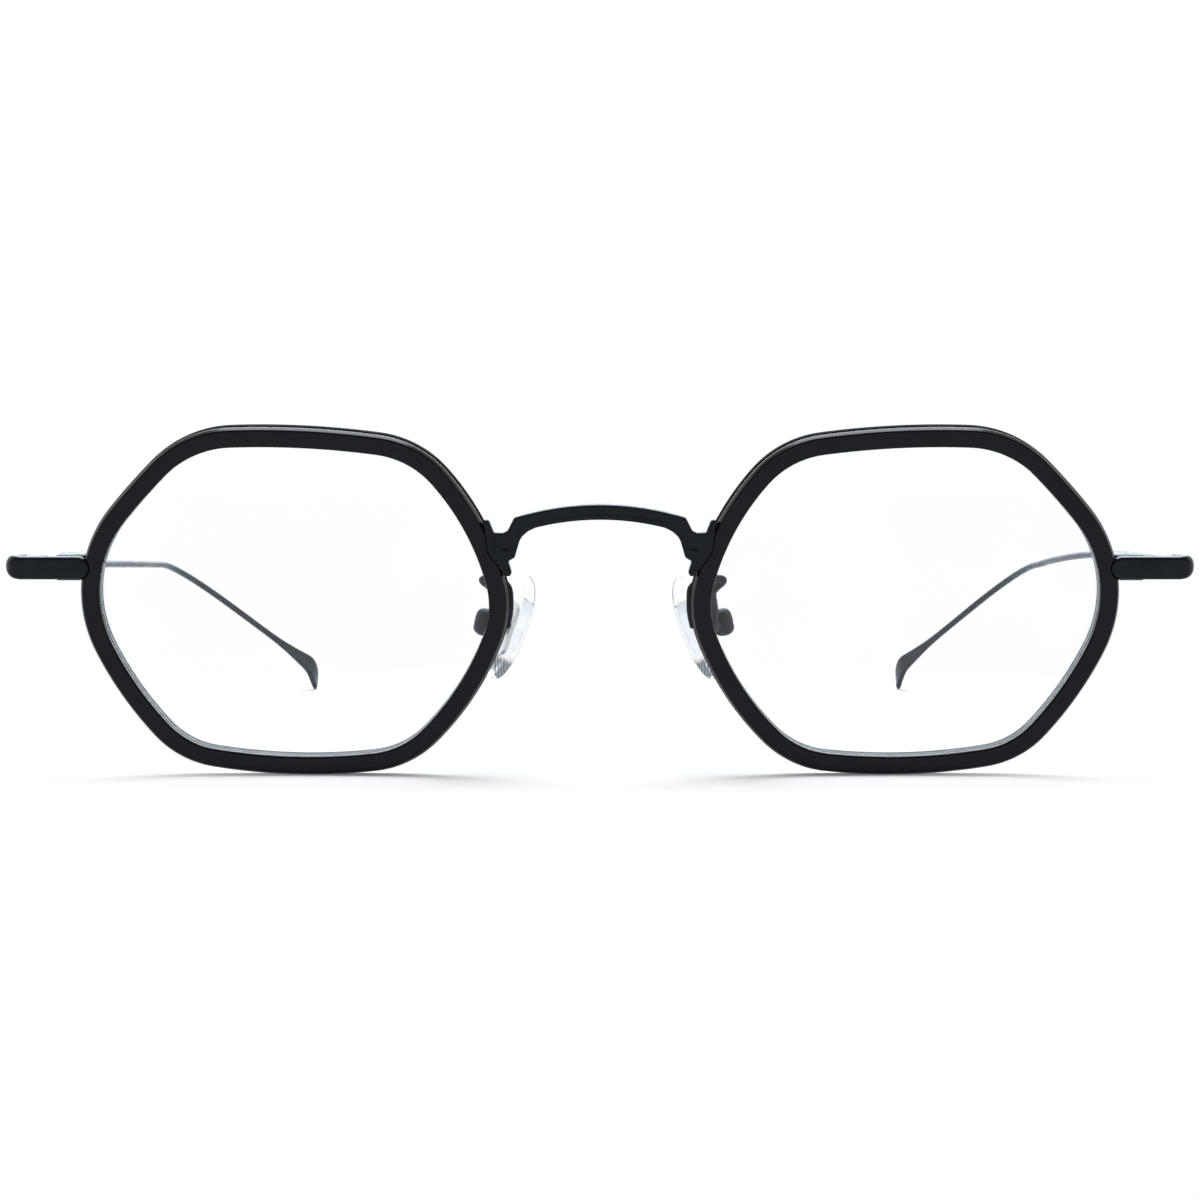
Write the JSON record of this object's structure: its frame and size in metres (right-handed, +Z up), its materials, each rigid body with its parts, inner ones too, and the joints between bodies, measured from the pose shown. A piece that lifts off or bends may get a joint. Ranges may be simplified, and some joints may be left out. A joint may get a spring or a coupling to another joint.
{
  "type": "eyeglasses",
  "caption": "Geometric eyeglasses with six-sided dark rims set in thin metal eyewires, a saddle bridge, rocking nose pads and folding wire temples.",
  "frame": {"origin": "centre of the bounding box's footprint, on the table that the open glasses rest on", "axes": "+X toward the right side as seen from the front, +Y from the front back to the temple tips, +Z up; the open glasses rest on the two eyewires and the two temple tips"},
  "size_m": [0.136, 0.141, 0.0404],
  "materials": {
    "rim_acetate": "satin, blue-black",
    "dark_metal": "satin dark plating",
    "screw_metal": "dark plated steel",
    "bright_metal": "plain steel",
    "lens_clear": "clear polished",
    "pad_silicone": "clear satin silicone"
  },
  "bodies": {
    "front": {"bridge": "dark_metal", "left_rim": "rim_acetate", "right_rim": "rim_acetate", "left_eyewire": "dark_metal", "right_eyewire": "dark_metal", "left_lens": "lens_clear", "right_lens": "lens_clear", "left_endpiece": "dark_metal", "right_endpiece": "dark_metal", "left_upper_closing_block": "dark_metal", "right_upper_closing_block": "dark_metal", "left_lower_closing_block": "dark_metal", "right_lower_closing_block": "dark_metal", "left_rim_screw": "screw_metal", "right_rim_screw": "screw_metal", "left_front_hinge": "dark_metal", "right_front_hinge": "dark_metal", "left_hinge_screw": "screw_metal", "right_hinge_screw": "screw_metal", "left_pad_arm": "dark_metal", "right_pad_arm": "dark_metal", "left_pad_box": "dark_metal", "right_pad_box": "dark_metal", "left_pad_screw": "screw_metal", "right_pad_screw": "screw_metal"},
    "right_temple_arm": {"right_temple": "dark_metal", "right_temple_hinge": "dark_metal"},
    "left_temple_arm": {"left_temple": "dark_metal", "left_temple_hinge": "dark_metal"},
    "right_pad": {"right_pad_insert": "bright_metal", "right_nose_pad": "pad_silicone"},
    "left_pad": {"left_pad_insert": "bright_metal", "left_nose_pad": "pad_silicone"}
  },
  "joints": [
    {"name": "right_temple_fold", "type": "hinge", "parent": "front", "child": "right_temple_arm", "pos_m": [0.06545, -0.06087, 0.02422], "axis": [0, 0, 1], "range_deg": [0, 77]},
    {"name": "left_temple_fold", "type": "hinge", "parent": "front", "child": "left_temple_arm", "pos_m": [-0.06545, -0.06087, 0.02422], "axis": [0, 0, -1], "range_deg": [0, 80]},
    {"name": "right_pad_rock", "type": "hinge", "parent": "front", "child": "right_pad", "pos_m": [0.0145, -0.05684, 0.01737], "axis": [0.4555, 0.8585, 0.2354], "range_deg": [-10, 10]},
    {"name": "left_pad_rock", "type": "hinge", "parent": "front", "child": "left_pad", "pos_m": [-0.0136, -0.05684, 0.01737], "axis": [0.4555, -0.8585, -0.2354], "range_deg": [-10, 10]}
  ]
}
